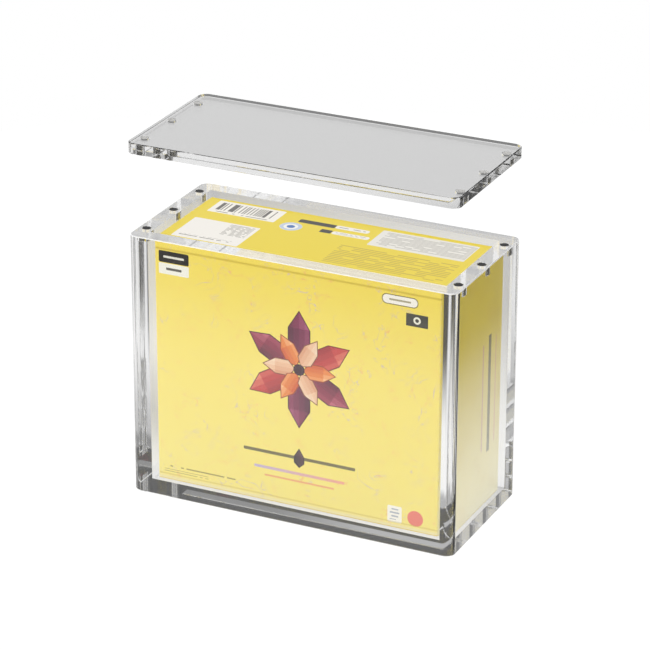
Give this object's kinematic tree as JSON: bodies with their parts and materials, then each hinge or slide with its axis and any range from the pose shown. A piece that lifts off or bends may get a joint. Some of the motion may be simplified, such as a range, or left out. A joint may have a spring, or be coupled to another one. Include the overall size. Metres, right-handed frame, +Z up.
{
  "type": "booster box display case",
  "caption": "Clear acrylic display case with a lift-off lid held by disc magnets, holding a sealed yellow carton of foil packs.",
  "frame": {"origin": "centre of the base plate's underside, on the surface that the case stands on", "axes": "+Z up, -Y to the front panel, +X to the right end wall as seen from the front"},
  "size_m": [0.184, 0.085, 0.1955],
  "materials": {
    "clear_sheet": "clear cast acrylic sheet, polished faces and edges",
    "wall_magnet": "nickel-plated neodymium disc with a dark pole face",
    "lid_magnet": "bright nickel-plated neodymium disc",
    "carton_board": "printed and varnished solid board, yellow",
    "pack_film": "printed metallised film, satin"
  },
  "bodies": {
    "case": {"base_plate": "clear_sheet", "left_end_wall": "clear_sheet", "right_end_wall": "clear_sheet", "front_panel": "clear_sheet", "back_panel": "clear_sheet", "left_wall_magnet_front": "wall_magnet", "left_wall_magnet_middle": "wall_magnet", "left_wall_magnet_back": "wall_magnet", "right_wall_magnet_front": "wall_magnet", "right_wall_magnet_middle": "wall_magnet", "right_wall_magnet_back": "wall_magnet"},
    "carton": {"carton_sleeve": "carton_board", "carton_top_flap": "carton_board", "carton_bottom_flap": "carton_board", "carton_top_left_dust_flap": "carton_board", "carton_top_right_dust_flap": "carton_board", "carton_bottom_left_dust_flap": "carton_board", "carton_bottom_right_dust_flap": "carton_board", "foil_pack_01": "pack_film", "foil_pack_02": "pack_film", "foil_pack_03": "pack_film", "foil_pack_04": "pack_film", "foil_pack_05": "pack_film", "foil_pack_06": "pack_film", "foil_pack_07": "pack_film", "foil_pack_08": "pack_film", "foil_pack_09": "pack_film", "foil_pack_10": "pack_film", "foil_pack_11": "pack_film", "foil_pack_12": "pack_film", "foil_pack_13": "pack_film", "foil_pack_14": "pack_film", "foil_pack_15": "pack_film", "foil_pack_16": "pack_film", "foil_pack_17": "pack_film", "foil_pack_18": "pack_film", "foil_pack_19": "pack_film", "foil_pack_20": "pack_film", "foil_pack_21": "pack_film", "foil_pack_22": "pack_film", "foil_pack_23": "pack_film", "foil_pack_24": "pack_film"},
    "lid": {"lid_plate": "clear_sheet", "left_lid_magnet_front": "lid_magnet", "left_lid_magnet_middle": "lid_magnet", "left_lid_magnet_back": "lid_magnet", "right_lid_magnet_front": "lid_magnet", "right_lid_magnet_middle": "lid_magnet", "right_lid_magnet_back": "lid_magnet"}
  },
  "joints": [
    {"name": "carton_lift", "type": "slide", "parent": "case", "child": "carton", "axis": [0, 0, 1], "range_m": [0, 0.142]},
    {"name": "lid_lift", "type": "slide", "parent": "carton", "child": "lid", "axis": [0, 0, 1], "range_m": [-0.0445, 0.06]}
  ]
}
